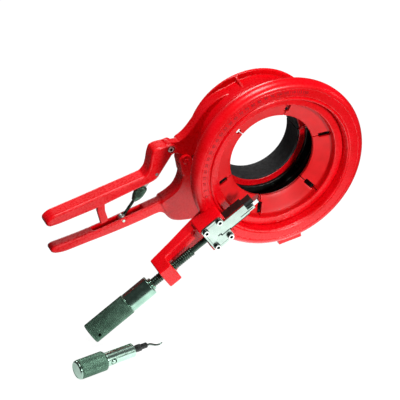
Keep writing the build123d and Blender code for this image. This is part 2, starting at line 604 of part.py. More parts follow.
def make_blade_screws():
    screws = [on_arm(Pos(a, -105.0, 6.9) * Cylinder(1.5, 5.8)) for a in BLADE_SCREW_A]
    return Compound(children=screws)


def make_feed_screw():
    """Feed spindle: head and journal in the slider, neck, long screw through the elbow, and the knob's seat."""
    screw = rod_x(JOURNAL_HEAD_R, HEAD_POCKET_A[0] + 0.3, HEAD_POCKET_A[1] - 0.3, AXIS_Y)
    screw += rod_x(JOURNAL_R, HEAD_POCKET_A[0] + 1, SLIDER_A[1] + 1, AXIS_Y)
    screw += rod_x(NECK_FEED_R, SLIDER_A[1] + 0.5, SHOULDER_A + 1, AXIS_Y)
    screw += rod_x(FEED_R, SHOULDER_A, KNOB_A[1], AXIS_Y)
    screw -= Pos(KNOB_PIN_A, AXIS_Y, 0) * Cylinder(KNOB_PIN_R, 40)
    return on_arm(screw)


def make_knob_collar():
    collar = rod_x(8.5, COLLAR_A[0], COLLAR_A[1], AXIS_Y) - rod_x(FEED_R, COLLAR_A[0] - 1, COLLAR_A[1] + 1, AXIS_Y)
    return on_arm(chamfer(collar.edges().filter_by(GeomType.CIRCLE).group_by(Axis.X)[0].sort_by(SortBy.RADIUS)[-1], 1.0))


def make_knob():
    """Feed knob: plain sleeve and knurled grip, pinned to the spindle."""
    sleeve = rod_x(KNOB_R, KNOB_A[0], KNOB_A[1], AXIS_Y)
    grip = rod_x(KNOB_GRIP_R, KNOB_A[1] - 1, KNOB_A[2], AXIS_Y)
    grip = chamfer(grip.edges().filter_by(GeomType.CIRCLE), 0.9)
    sleeve = chamfer(sleeve.edges().filter_by(GeomType.CIRCLE).group_by(Axis.X)[0], 1.0)
    knob = sleeve + grip
    knob -= rod_x(FEED_R, KNOB_A[0] - 1, KNOB_A[1], AXIS_Y)
    knob -= Pos(KNOB_HOLE_A, AXIS_Y - 7, 0) * Rot(90, 0, 0) * Cylinder(KNOB_HOLE_R, 16)
    knob -= Pos(KNOB_PIN_A, AXIS_Y, 0) * Cylinder(KNOB_PIN_R, 40)
    return on_arm(knob)


def make_knob_pin():
    return on_arm(Pos(KNOB_PIN_A, AXIS_Y, 0) * Cylinder(KNOB_PIN_R, 2 * KNOB_R - 1))


# ---------- hand deburrer ----------

def in_hand_tool(shape):
    """Places a shape drawn along +X from the cap's outer end."""
    return Pos(*DEBURRER_AT) * Rot(0, 0, DEBURRER_YAW) * shape


def make_deburrer_handle():
    """Knurled grip with a groove, and the plain shank that carries the holder and the button."""
    grip = chamfer(rod_x(GRIP_R, CAP_T, GRIP_LENGTH).edges().filter_by(GeomType.CIRCLE), 0.8)
    shank = rod_x(SHANK_R, GRIP_LENGTH - 1, GRIP_LENGTH + SHANK_LENGTH)
    shank = chamfer(shank.edges().filter_by(GeomType.CIRCLE).group_by(Axis.X)[-1], 0.8)
    body = grip + shank
    body -= rod_x(HOLDER_R, GRIP_LENGTH + SHANK_LENGTH - 20, GRIP_LENGTH + SHANK_LENGTH + 1)
    body -= rod_x(8.0, CAP_T - 1, CAP_T + 30)
    body -= Pos(BUTTON_X, -5, 0) * Rot(90, 0, 0) * Cylinder(BUTTON_R + FIT_GAP, 12)
    return in_hand_tool(body)


def make_deburrer_cap():
    """Polished end cap that closes the spare blade store in the grip."""
    cap = rod_x(GRIP_R - 0.4, 0, CAP_T)
    cap = chamfer(cap.edges().filter_by(GeomType.CIRCLE).group_by(Axis.X)[0], 1.6)
    return in_hand_tool(cap + rod_x(8.0, CAP_T - 1, CAP_T + 6))


def make_detent_button():
    """Domed release button in the shank's side."""
    stem = Pos(BUTTON_X, -6.2, 0) * Rot(90, 0, 0) * Cylinder(BUTTON_R, 5)
    dome = Pos(BUTTON_X, -6.4, 0) * Sphere(BUTTON_R) & Pos(BUTTON_X, -10.5, 0) * Box(20, 7.0, 20)
    return in_hand_tool(stem + dome)


def make_blade_holder():
    """Black stepped holder that the swivelling blade turns in."""
    end = GRIP_LENGTH + SHANK_LENGTH
    holder = rod_x(HOLDER_R - FIT_GAP, end - 18, end + 12)
    holder += rod_x(HOLDER_NOSE_R, end + 11, end + HOLDER_LENGTH)
    holder -= rod_x(HAND_BLADE_R + FIT_GAP, end - 8, end + HOLDER_LENGTH + 1)
    return in_hand_tool(holder)


def make_hand_blade():
    """Round blade shank with its S-shaped scraping end."""
    start = GRIP_LENGTH + SHANK_LENGTH
    nose = start + HOLDER_LENGTH
    path = FilletPolyline((start - 7, 0, 0), (nose + 5, 0, 0), (nose + 11.5, -1.5, -3.2), (nose + 19, -1.5, -1.2),
                          (nose + 22, -1.5, 1.2), radius=[4.0, 4.5, 2.6])
    section = Plane(origin=path @ 0, z_dir=path % 0) * Circle(HAND_BLADE_R)
    return in_hand_tool(sweep(section, path=path, transition=Transition.RIGHT))


def parts():
    """Every piece by the name of its node."""
    upper_pin, lower_pin = make_link_pins()
    nodes = {
        "lower_jaw": make_lower_jaw(),
        "upper_jaw": make_upper_jaw(),
        "lower_pad": make_pad(lower_limits()),
        "upper_pad": make_pad(upper_limits()),
        "jaw_pivot_pin": make_jaw_pin(),
        "lever": make_lever(),
        "lever_stop": make_lever_stop(),
        "lever_pivot_pin": make_lever_pin(),
        "link_upper_pin": upper_pin,
        "link_lower_pin": lower_pin,
        "link_rod": make_link_rod(),
        "link_eye": make_link_eye(),
        "adjuster_nut": make_adjuster_nut(),
        "bearing_hub": make_hub(),
        "hub_screws": make_hub_screws(),
        "retaining_ring": make_retainer(),
        "turning_ring": make_ring(),
        "cutter_arm": make_cutter_arm(),
        "arm_screws": make_arm_screws(),
        "feed_bush": make_feed_bush(),
        "cover_plate": make_cover_plate(),
        "plate_screws": make_plate_screws(),
        "tool_slide": make_tool_slide(),
        "cutter_blade": make_blade(),
        "blade_screws": make_blade_screws(),
        "feed_screw": make_feed_screw(),
        "knob_collar": make_knob_collar(),
        "feed_knob": make_knob(),
        "knob_pin": make_knob_pin(),
        "deburrer_handle": make_deburrer_handle(),
        "deburrer_cap": make_deburrer_cap(),
        "detent_button": make_detent_button(),
        "blade_holder": make_blade_holder(),
        "deburring_blade": make_hand_blade(),
    }
    for index in range(SEGMENT_COUNT):
        nodes[f"guide_segment_{index + 1}"] = make_guide_segment(index)
    return nodes


def main():
    os.makedirs("parts", exist_ok=True)
    for name, shape in parts().items():
        export_step(shape, f"parts/{name}.step")


main()
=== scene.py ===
import json
import math

import bmesh
import bpy
from mathutils import Matrix, Vector

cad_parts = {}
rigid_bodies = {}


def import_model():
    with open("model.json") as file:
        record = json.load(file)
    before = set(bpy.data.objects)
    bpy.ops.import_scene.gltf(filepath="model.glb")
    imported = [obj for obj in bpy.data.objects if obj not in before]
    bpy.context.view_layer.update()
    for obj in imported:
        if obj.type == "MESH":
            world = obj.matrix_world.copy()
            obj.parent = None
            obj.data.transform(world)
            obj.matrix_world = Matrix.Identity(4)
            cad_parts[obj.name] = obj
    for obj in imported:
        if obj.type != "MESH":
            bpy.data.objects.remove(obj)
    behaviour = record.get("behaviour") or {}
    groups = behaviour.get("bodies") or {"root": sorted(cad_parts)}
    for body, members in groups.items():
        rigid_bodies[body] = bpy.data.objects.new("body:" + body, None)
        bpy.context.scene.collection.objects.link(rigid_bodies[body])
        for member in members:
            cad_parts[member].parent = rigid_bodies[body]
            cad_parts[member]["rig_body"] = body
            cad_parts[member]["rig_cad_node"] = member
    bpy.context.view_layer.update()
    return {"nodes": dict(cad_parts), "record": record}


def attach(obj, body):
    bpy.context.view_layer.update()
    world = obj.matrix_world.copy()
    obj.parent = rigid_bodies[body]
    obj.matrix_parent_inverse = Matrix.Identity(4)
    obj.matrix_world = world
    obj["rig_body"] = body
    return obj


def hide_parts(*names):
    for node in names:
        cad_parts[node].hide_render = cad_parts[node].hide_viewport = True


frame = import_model()
NODES = frame["nodes"]
MM = 0.001

# ---------- places on the tool, in millimetres in the row frame ----------

PIPE_AXIS = (Vector((0, 0, 0)), Vector((0, 1, 0)))
ARM_ANGLE = math.radians(-146.9)
ARM_OUT = Vector((math.cos(ARM_ANGLE), 0, math.sin(ARM_ANGLE)))
ARM_ACROSS = Vector((-ARM_OUT.z, 0, ARM_OUT.x))
FEED_Y = -104.5
FEED_AXIS = (Vector((0, FEED_Y, 0)), ARM_OUT)
KNOB_PIN_OUT, KNOB_CROSS_OUT, KNOB_SLEEVE_END = 250, 322, 268.3

HAND_TOOL_AT = Vector((-322.9, -173.6, -181.0))
HAND_TOOL_YAW = math.radians(10)
HAND_TOOL_ALONG = Vector((math.cos(HAND_TOOL_YAW), math.sin(HAND_TOOL_YAW), 0))
HAND_TOOL_FRONT = Vector((HAND_TOOL_ALONG.y, -HAND_TOOL_ALONG.x, 0))
HAND_TOOL_AXIS = (HAND_TOOL_AT, HAND_TOOL_ALONG)
HAND_GRIP_END, BUTTON_ALONG = 41.2, 50.5

LINK_TOP = Vector((-144.6, 2.0, -22.4))
LINK_BOTTOM = Vector((-191.4, 2.0, -84.9))
LINK_LENGTH = (LINK_BOTTOM - LINK_TOP).length
LINK_AXIS = (LINK_TOP, (LINK_BOTTOM - LINK_TOP).normalized())
LINK_EYE_REACH = 6.5

FRONT = Vector((0, -1, 0))
PLATE_FRONT_Y = -112.0
PLATE_SCREWS_OUT, PLATE_SCREWS_ACROSS = (109, 131), (-15, 15)
LEVER_PIN_AT, LEVER_PIN_FRONT, LEVER_PIN_REAR = Vector((-123.6, 0, 10.6)), 7.5, -13
JAW_PIN_AT = Vector((-102.6, 0, -12.4))

BAND_Y = -84.5
HUB_FRONT_Y, HUB_SHELF_Y, HUB_REAR_Y = -71.5, -60.5, -18
HUB_BORE_R, HUB_SEAT_R = 82.5, 87.5

# The scale on the band: degrees, then radii and sizes.
SCALE_START, SCALE_TICK, SCALE_STEPS, NUMBER_EVERY = 192, 1, 120, 5
TICK_INNER, TICK_SHORT, TICK_LONG, TICK_WIDTH = 102.8, 104.0, 105.2, 0.55
NUMBER_FOOT, NUMBER_SIZE = 106.2, 5.6

CORNER_STEPS = 4
WELD_DISTANCE = 0.01

CAMERA_AT = Vector((-1137.8, -2525.5, 1628.1))
CAMERA_TARGET = Vector((-123.1, -105.0, -11.7))
CAMERA_LENS = 216
FLOOR_Z = -194.0
TABLE_CENTRE = Vector((-70, -240, -194))
TABLE_BRIGHT, TABLE_DARK = 160, 340
TABLE_SEEN, TABLE_MIRRORED, TABLE_LIGHT = 1.1, 2.7, 1.3
TABLE_GLOW = 0.88
FLOOR_REACH = 6000
WORLD_LIGHT = 0.06


# ---------- material helpers ----------

class Shader:
    """A node material with one Principled shader, built step by step."""

    def __init__(self, name, color, roughness, metallic=0.0):
        self.material = bpy.data.materials.new(name)
        self.material.use_nodes = True
        self.tree = self.material.node_tree
        self.surface = self.tree.nodes["Principled BSDF"]
        self.set("Base Color", (*color, 1))
        self.set("Roughness", roughness)
        self.set("Metallic", metallic)
        self.height = None

    def set(self, socket, value):
        self.surface.inputs[socket].default_value = value

    def node(self, kind, **values):
        made = self.tree.nodes.new(kind)
        for key, value in values.items():
            setattr(made, key, value)
        return made

    def link(self, source, target):
        self.tree.links.new(source, target)

    def place(self):
        """The point's object coordinates, in metres."""
        return self.node("ShaderNodeTexCoord").outputs["Object"]

    def noise(self, scale, detail=4.0):
        noise = self.node("ShaderNodeTexNoise")
        noise.inputs["Scale"].default_value = scale
        noise.inputs["Detail"].default_value = detail
        self.link(self.place(), noise.inputs["Vector"])
        return noise.outputs["Fac"]

    def ramp(self, factor, low, high, low_at=0.3, high_at=0.7):
        ramp = self.node("ShaderNodeValToRGB")
        ramp.color_ramp.elements[0].position = low_at
        ramp.color_ramp.elements[1].position = high_at
        ramp.color_ramp.elements[0].color = (*low, 1)
        ramp.color_ramp.elements[1].color = (*high, 1)
        self.link(factor, ramp.inputs["Fac"])
        return ramp.outputs["Color"]

    def spread(self, factor, low, high, from_low=0.3, from_high=0.7):
        """A number that goes from low to high as the factor does."""
        spread = self.node("ShaderNodeMapRange")
        spread.inputs["From Min"].default_value = from_low
        spread.inputs["From Max"].default_value = from_high
        spread.inputs["To Min"].default_value = low
        spread.inputs["To Max"].default_value = high
        self.link(factor, spread.inputs["Value"])
        return spread.outputs["Result"]

    def toward(self, factor, color, other):
        """A colour output that goes to another colour as the factor goes to 1."""
        mix = self.node("ShaderNodeMix", data_type="RGBA")
        self.link(factor, mix.inputs["Factor"])
        self.link(color, mix.inputs["A"])
        mix.inputs["B"].default_value = (*other, 1)
        return mix.outputs["Result"]

    def color(self, socket):
        self.link(socket, self.surface.inputs["Base Color"])

    def roughness(self, socket):
        self.link(socket, self.surface.inputs["Roughness"])

    def bump(self, factor, strength, distance):
        bump = self.node("ShaderNodeBump")
        bump.inputs["Strength"].default_value = strength
        bump.inputs["Distance"].default_value = distance
        self.link(factor, bump.inputs["Height"])
        if self.height:
            self.link(self.height, bump.inputs["Normal"])
        self.height = bump.outputs["Normal"]
        self.link(self.height, self.surface.inputs["Normal"])


def tool_marks(shader, direction, scale):
    """Noise that changes only along a direction, for marks that run across it."""
    dot = shader.node("ShaderNodeVectorMath", operation="DOT_PRODUCT")
    shader.link(shader.place(), dot.inputs[0])
    dot.inputs[1].default_value = tuple(direction)
    combine = shader.node("ShaderNodeCombineXYZ")
    shader.link(dot.outputs["Value"], combine.inputs["X"])
    noise = shader.node("ShaderNodeTexNoise")
    noise.inputs["Scale"].default_value = scale
    noise.inputs["Detail"].default_value = 6.0
    shader.link(combine.outputs["Vector"], noise.inputs["Vector"])
    return noise.outputs["Fac"]


# ---------- materials ----------

def red_casting():
    """Semi-gloss red powder coat: faint mottling, fine orange peel, and paler pink edges, partly
    worn paint and partly painted highlight.
    """
    shader = Shader("red_casting", (0.9, 0.004, 0.008), 0.36)
    mottle = shader.ramp(shader.noise(45, 5), (0.80, 0.0005, 0.003), (0.93, 0.002, 0.010))
    geometry = shader.node("ShaderNodeNewGeometry")
    # Convex edges are mixed towards pale pink: partly wear, partly a painted highlight.
    edge_wear_and_highlight = shader.spread(geometry.outputs["Pointiness"], 0.0, 0.22, 0.53, 0.62)
    shader.color(shader.toward(edge_wear_and_highlight, mottle, (0.98, 0.07, 0.08)))
    shader.roughness(shader.spread(shader.noise(300, 3), 0.24, 0.32))
    shader.bump(shader.noise(900, 2), 0.08, 0.00012)
    shader.bump(shader.noise(2600, 2), 0.08, 0.00005)
    shader.set("Specular IOR Level", 0.38)
    return shader.material


def red_mark():
    """Dark red paint on the raised scale."""
    shader = Shader("red_mark", (0.4, 0.001, 0.006), 0.5)
    shader.color(shader.ramp(shader.noise(400, 3), (0.32, 0.001, 0.004), (0.50, 0.002, 0.010)))
    shader.roughness(shader.spread(shader.noise(600, 2), 0.45, 0.6))
    shader.bump(shader.noise(2600, 2), 0.15, 0.00004)
    return shader.material


def red_plastic():
    """Moulded red plastic of the guide plates, with a fine satin grain."""
    shader = Shader("red_plastic", (0.8, 0.01, 0.02), 0.42)
    shader.color(shader.ramp(shader.noise(60, 4), (0.74, 0.001, 0.003), (0.88, 0.004, 0.008)))
    shader.roughness(shader.spread(shader.noise(500, 2), 0.34, 0.5))
    shader.bump(shader.noise(1800, 2), 0.2, 0.00006)
    shader.set("Specular IOR Level", 0.35)
    return shader.material


def steel(name, dark, light, rough, direction=None, grain=0, scratch=0):
    """Steel with fine tool marks across a direction, slight colour drift and soft smudges."""
    shader = Shader(name, light, rough, 1.0)
    shader.color(shader.ramp(shader.noise(70, 4), dark, light))
    shader.roughness(shader.spread(shader.noise(220, 5), rough * 0.9, rough * 1.15))
    if direction is not None:
        shader.bump(tool_marks(shader, direction, grain), scratch, 0.00005)
    shader.bump(shader.noise(1500, 3), 0.03, 0.00002)
    return shader.material


def black_oxide():
    """Blackened steel: nearly black, softly glossy, with grey rubbing."""
    shader = Shader("black_oxide", (0.008, 0.008, 0.008), 0.38, 0.2)
    shader.color(shader.ramp(shader.noise(120, 5), (0.003, 0.004, 0.0035), (0.012, 0.016, 0.014)))
    shader.set("Specular IOR Level", 0.35)
    shader.roughness(shader.spread(shader.noise(400, 3), 0.3, 0.48))
    shader.bump(shader.noise(1500, 3), 0.2, 0.00004)
    return shader.material


def pad_rubber():
    """Black liner with a fine moulded grain."""
    shader = Shader("pad_rubber", (0.03, 0.03, 0.03), 0.75)
    shader.color(shader.ramp(shader.noise(200, 4), (0.012, 0.012, 0.013), (0.045, 0.045, 0.047)))
    shader.bump(shader.noise(1500, 4), 0.5, 0.0002)
    shader.roughness(shader.spread(shader.noise(500, 3), 0.65, 0.85))
    return shader.material


def floor_white():
    """Table top: plain white to look at, and lighting the object from an area in front."""
    shader = Shader("floor_white", (0.8, 0.8, 0.8), 0.9)
    shader.color(shader.ramp(shader.noise(2, 2), (0.78, 0.78, 0.78), (0.82, 0.82, 0.82)))
    shader.set("Specular IOR Level", 0.0)
    distance = shader.node("ShaderNodeVectorMath", operation="DISTANCE")
    shader.link(shader.place(), distance.inputs[0])
    distance.inputs[1].default_value = tuple(TABLE_CENTRE * MM)
    nearby = shader.spread(distance.outputs["Value"], 1, 0, TABLE_BRIGHT * MM, TABLE_DARK * MM)
    seen = shader.node("ShaderNodeLightPath")
    lighting = shader.spread(seen.outputs["Is Glossy Ray"], TABLE_LIGHT, TABLE_MIRRORED, 0, 1)
    fading = shader.node("ShaderNodeMath", operation="MULTIPLY")
    shader.link(nearby, fading.inputs[0])
    shader.link(lighting, fading.inputs[1])
    plain = shader.spread(seen.outputs["Is Camera Ray"], 0, TABLE_SEEN, 0, 1)
    strength = shader.node("ShaderNodeMath", operation="MAXIMUM")
    shader.link(fading.outputs["Value"], strength.inputs[0])
    shader.link(plain, strength.inputs[1])
    glow = shader.node("ShaderNodeEmission")
    shader.link(strength.outputs["Value"], glow.inputs["Strength"])
    blend = shader.node("ShaderNodeMixShader")
    blend.inputs["Fac"].default_value = TABLE_GLOW
    shader.link(shader.surface.outputs["BSDF"], blend.inputs[1])
    shader.link(glow.outputs["Emission"], blend.inputs[2])
    output = shader.tree.nodes["Material Output"]
    shader.link(blend.outputs["Shader"], output.inputs["Surface"])
    return shader.material


# Name: dark colour, light colour, roughness, then where the tool marks run, how fine and how deep.
STEELS = {
    "pin_steel": ((0.36, 0.46, 0.40), (0.52, 0.64, 0.57), 0.30),
    "screw_zinc": ((0.62, 0.68, 0.64), (0.78, 0.84, 0.80), 0.42),
    "knurled_steel": ((0.06, 0.12, 0.085), (0.11, 0.20, 0.145), 0.46),
    "bright_steel": ((0.30, 0.45, 0.37), (0.40, 0.57, 0.48), 0.24, HAND_TOOL_ALONG, 4000, 0.02),
    "knob_steel": ((0.17, 0.29, 0.23), (0.26, 0.41, 0.33), 0.24, ARM_OUT, 4000, 0.02),
    "dark_steel": ((0.025, 0.045, 0.035), (0.06, 0.09, 0.07), 0.36),
    "brass_bush": ((0.62, 0.45, 0.18), (0.80, 0.62, 0.30), 0.3, ARM_OUT, 3000, 0.2),
    "plate_steel": ((0.30, 0.38, 0.34), (0.38, 0.47, 0.42), 0.26, ARM_ACROSS, 1800, 0.35),
    "blade_steel": ((0.42, 0.46, 0.44), (0.66, 0.70, 0.68), 0.25, ARM_OUT, 3500, 0.3),
    "hand_blade": ((0.05, 0.07, 0.06), (0.14, 0.18, 0.16), 0.30),
}

MATERIALS = {name: steel(name, *look) for name, look in STEELS.items()}
MATERIALS["red_casting"] = red_casting()
MATERIALS["red_mark"] = red_mark()
MATERIALS["red_plastic"] = red_plastic()
MATERIALS["pad_rubber"] = pad_rubber()
MATERIALS["black_oxide"] = black_oxide()


def paint(obj, *names):
    obj.data.materials.clear()
    for name in names:
        obj.data.materials.append(MATERIALS[name])


def paint_two(obj, main, second, is_second):
    """Paints a piece, with a second material on the faces whose centre, in mm, passes a test."""
    paint(obj, main, second)
    for polygon in obj.data.polygons:
        polygon.material_index = 1 if is_second(Vector(polygon.center) / MM) else 0


def slot_of(node):
    for row in frame["record"]["subparts"]:
        if row["node"] == node:
            return row["material_slot"]
    raise ValueError(f"no material slot for {node}")


# ---------- mesh helpers ----------

def smooth(obj, angle=35):
    """Smooth shading that keeps edges sharper than the angle."""
    for polygon in obj.data.polygons:
        polygon.use_smooth = True
    obj.data.set_sharp_from_angle(angle=math.radians(angle))


def in_scene(obj):
    bpy.context.scene.collection.objects.link(obj)
    return obj


def add_object(name, verts, faces, material):
    mesh = bpy.data.meshes.new(name)
    mesh.from_pydata([tuple(v) for v in verts], [], faces)
    mesh.validate()
    obj = in_scene(bpy.data.objects.new(name, mesh))
    paint(obj, material)
    return obj


def weld(obj):
    """Joins the CAD mesh's faces along their shared edges."""
    obj.modifiers.new("weld", "WELD").merge_threshold = WELD_DISTANCE * MM


def settle(obj):
    """Applies every modifier on an object."""
    bpy.context.view_layer.update()
    graph = bpy.context.evaluated_depsgraph_get()
    mesh = bpy.data.meshes.new_from_object(obj.evaluated_get(graph))
    obj.modifiers.clear()
    obj.data = mesh


def across(direction):
    """Two unit vectors square to a direction."""
    helper = Vector((0, 0, 1)) if abs(direction.z) < 0.9 else Vector((1, 0, 0))
    first = direction.cross(helper).normalized()
    return first, direction.cross(first).normalized()


def rounded(points, radius, closed):
    """An outline with its corners rounded: each corner becomes a short arc."""
    made = []
    count = len(points)
    for i in range(count):
        here = Vector(points[i])
        if not closed and i in (0, count - 1):
            made.append(here)
            continue
        before, after = Vector(points[i - 1]), Vector(points[(i + 1) % count])
        u, v = (before - here), (after - here)
        reach = min(radius, 0.45 * u.length, 0.45 * v.length)
        if u.angle(v) > math.radians(176) or reach < 0.02:
            made.append(here)
            continue
        start, end = here + u.normalized() * reach, here + v.normalized() * reach
        for step in range(CORNER_STEPS + 1):
            t = step / CORNER_STEPS
            made.append(start.lerp(here, t).lerp(here.lerp(end, t), t))
    return made


def refined(points, longest, closed):
    """The same outline with no run longer than a limit."""
    made = []
    count = len(points)
    last = count if closed else count - 1
    for i in range(last):
        here, there = points[i], points[(i + 1) % count]
        pieces = max(1, math.ceil((there - here).length / longest))
        made += [here.lerp(there, k / pieces) for k in range(pieces)]
    if not closed:
        made.append(points[-1])
    return made


def turned(name, outline, origin, direction, material, segments=96, relief=None, closed=False):
    """A turned solid: its outline is (radius, along) in mm, and relief(angle, along) deepens it."""
    first, second = across(direction)
    verts, faces = [], []
    rows = len(outline)
    for radius, distance in outline:
        for k in range(segments):
            angle = 2 * math.pi * k / segments
            r = radius - (relief(angle, distance) if relief else 0)
            out = first * math.cos(angle) + second * math.sin(angle)
            verts.append((origin + direction * distance + out * r) * MM)
    last = rows if closed else rows - 1
    for i in range(last):
        for k in range(segments):
            here, above, beside = i * segments, (i + 1) % rows * segments, (k + 1) % segments
            faces.append((here + k, here + beside, above + beside, above + k))
    if not closed:
        faces.append(tuple(range(segments))[::-1])
        faces.append(tuple(range((rows - 1) * segments, rows * segments)))
    obj = add_object(name, verts, faces, material)
    bm = bmesh.new()
    bm.from_mesh(obj.data)
    bmesh.ops.recalc_face_normals(bm, faces=bm.faces)
    bm.to_mesh(obj.data)
    bm.free()
    return obj


def cast_copy(node, voxel, relax, material):
    """A casting's surface: the CAD solid with its corners slightly rounded."""
    obj = NODES[node].copy()
    obj.data = NODES[node].data.copy()
    obj.name = node + "_cast"
    obj.animation_data_clear()
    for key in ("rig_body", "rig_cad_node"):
        del obj[key]
    obj.parent = None
    in_scene(obj)
    weld(obj)
    remesh = obj.modifiers.new("remesh", "REMESH")
    remesh.mode = "VOXEL"
    remesh.voxel_size = voxel * MM
    soften = obj.modifiers.new("soften", "SMOOTH")
    soften.factor = 0.5
    soften.iterations = relax
    settle(obj)
    paint(obj, material)
    smooth(obj, 60)
    return obj


def stand_for(obj, body, slot, *nodes):
    """Hangs a piece on its body and lets it stand for its CAD nodes."""
    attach(obj, body)
    if nodes:
        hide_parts(*nodes)
    return obj


def body_of(node):
    for body, members in frame["record"]["behaviour"]["bodies"].items():
        if node in members:
            return body
    raise ValueError(f"no body holds {node}")


# ---------- castings ----------

def paint_bore_shade(hub):
    """Paints shade into the hub's bore behind the guide segments: the bore faces get a dark oxide
    colour as painted shade.
    """
    def inside(point):
        radius = math.hypot(point.x, point.z)
        within = radius < HUB_BORE_R or (radius < HUB_SEAT_R and point.y < HUB_SHELF_Y)
        return within and HUB_FRONT_Y < point.y < HUB_REAR_Y
    # The bore and seat faces behind the segments are painted dark oxide: painted shade where little
    # light reaches.
    paint_two(hub, "red_casting", "black_oxide", inside)


def make_castings():
    voxels = {
        "lower_jaw": 0.9, "upper_jaw": 0.8, "lever": 0.7,
        "lever_stop": 0.5, "cutter_arm": 0.6, "bearing_hub": 1.0,
    }
    for node, voxel in voxels.items():
        obj = cast_copy(node, voxel, 3, "red_casting")
        stand_for(obj, body_of(node), slot_of(node), node)
        if node == "bearing_hub":
            # Painted shade in the hub's bore, behind the guide segments.
            paint_bore_shade(obj)


def arc(centre, across_radius, along_radius, low_angle, high_angle, steps):
    """Points of an elliptic arc in (radius, along)."""
    points = []
    for step in range(steps + 1):
        angle = math.radians(low_angle + (high_angle - low_angle) * step / steps)
        points.append((centre[0] + across_radius * math.cos(angle),
                       centre[1] + along_radius * math.sin(angle)))
    return points


def make_turning_ring():
    """Dished hand ring: bore, bowl wall, lip, groove, flat band, rounded rim and hollow back."""
    bowl = [(92.1, -52), (92.1, -71.8), (95.2, -71.8), (96.4, -84.6), (97.4, -86)]
    band = [(99.3, -86), (100.4, -83.4), (101.7, BAND_Y), (112.0, BAND_Y),
            (112.4, BAND_Y + 0.6), (113.0, BAND_Y)]
    rim = arc((113, -73.5), 9.5, 11.0, -84, 0, 14)
    back = [(121.9, -69.5), (119.5, -66), (114.5, -62.5), (104.2, -55.2)]
    hollow = [(104.2, -60.5), (117, -68.5), (118.4, -72), (116.5, -76.5), (112, -80),
              (104, -80), (101, -76), (101, -53)]
    outline = rounded(bowl + band + rim + back + hollow, 0.8, closed=True)
    obj = turned("turning_ring_cast", outline, *PIPE_AXIS, "red_casting", 288, closed=True)
    smooth(obj, 50)
    stand_for(obj, "rotor", "red_casting", "turning_ring")


def make_retaining_ring():
    """Plain ring inside the bowl that holds the guide segments in."""
    outline = rounded([(83.6, -74.2), (84.6, -75.2), (93.8, -75.2), (94.8, -74.2),
                       (94.8, -72.2), (83.6, -72.2)], 0.5, closed=True)
    obj = turned("retaining_ring_cast", outline, *PIPE_AXIS, "red_casting", 240, closed=True)
    smooth(obj, 50)
    stand_for(obj, "clamp_body", "red_casting", "retaining_ring")


def add_tick(verts, faces, angle, outer):
    """One raised tick: a small tapered block on the band."""
    out = Vector((math.cos(angle), 0, math.sin(angle)))
    side = Vector((-out.z, 0, out.x))
    start = len(verts)
    for lift, shrink in ((-0.05, 0.0), (0.3, 0.12)):
        near, far = TICK_INNER + shrink, outer - shrink
        for r, s in ((near, -1), (far, -1), (far, 1), (near, 1)):
            offset = side * s * (TICK_WIDTH / 2 - shrink)
            verts.append((out * r + offset + Vector((0, BAND_Y - lift, 0))) * MM)
    quads = [(4, 5, 6, 7), (0, 1, 5, 4), (1, 2, 6, 5), (2, 3, 7, 6), (3, 0, 4, 7), (3, 2, 1, 0)]
    faces.extend(tuple(start + k for k in quad) for quad in quads)


def make_graduations():
    """A raised angle scale on the band: a tick at each degree, and a number at every fifth."""
    verts, faces = [], []
    for step in range(SCALE_STEPS + 1):
        angle = math.radians(SCALE_START - step * SCALE_TICK)
        add_tick(verts, faces, angle, TICK_SHORT if step % NUMBER_EVERY else TICK_LONG)
    ticks = add_object("scale_ticks", verts, faces, "red_mark")
    stand_for(ticks, "rotor", "red_casting")
    for index in range(SCALE_STEPS // NUMBER_EVERY + 1):
        make_number(index, math.radians(SCALE_START - index * NUMBER_EVERY * SCALE_TICK))


def make_number(index, angle):
    """A raised number standing on the band, its foot towards the pipe."""
    text = bpy.data.curves.new(f"scale_number_{index}", "FONT")
    text.body = str(index * NUMBER_EVERY)
    text.size = NUMBER_SIZE * MM
    text.extrude = 0.15 * MM
    text.bevel_depth = 0.06 * MM
    text.align_x = "CENTER"
    text.materials.append(MATERIALS["red_mark"])
    number = in_scene(bpy.data.objects.new(f"scale_number_{index}", text))
    up = Vector((math.cos(angle), 0, math.sin(angle)))
    foot = up * NUMBER_FOOT + Vector((0, BAND_Y - 0.12, 0))
    turn = Matrix((up.cross(FRONT), up, FRONT)).transposed().to_4x4()
    number.matrix_world = Matrix.Translation(foot * MM) @ turn
    stand_for(number, "rotor", "red_casting")


# ---------- turned, knurled and threaded steel ----------

def groove_wave(turns):
    """A V-groove profile from a count of turns: 1 at the bottom of the groove, 0 on the crest."""
    part = turns - math.floor(turns)
    return max(0.0, 1 - abs(2 * part - 1) * 1.6)


def running_out(wave, depth, start, end, run_out):
    """Relief of a wave(angle, along) between two places, fading over a run-out at each."""
    def relief(angle, distance):
        edge = min(distance - start, end - distance)
        if edge <= 0:
            return 0
        return depth * wave(angle, distance) * min(1, edge / run_out)
    return relief


def diamond_knurl(crests, lead, depth, start, end):
    """Two crossing sets of grooves."""
    def wave(angle, distance):
        turns = angle * crests / (2 * math.pi)
        return max(groove_wave(turns + distance / lead), groove_wave(turns - distance / lead))
    return running_out(wave, depth, start, end, 0.6)


def straight_knurl(crests, depth, start, end):
    """Grooves along the axis."""
    def wave(angle, distance):
        return groove_wave(angle * crests / (2 * math.pi))
    return running_out(wave, depth, start, end, 1.5)


def thread(pitch, depth, start, end):
    """A right-hand thread with flat crests."""
    def wave(angle, distance):
        part = (distance / pitch - angle / (2 * math.pi)) % 1
        return min(1, max(0, 2.2 - abs(part - 0.5) * 6))
    return running_out(wave, depth, start, end, pitch)


def drill(name, radius, near, far, origin, direction, segments):
    """A plain cylinder to cut a hole with."""
    outline = [(radius, near), (radius, far)]
    return turned(name, outline, origin, direction, "knurled_steel", segments)


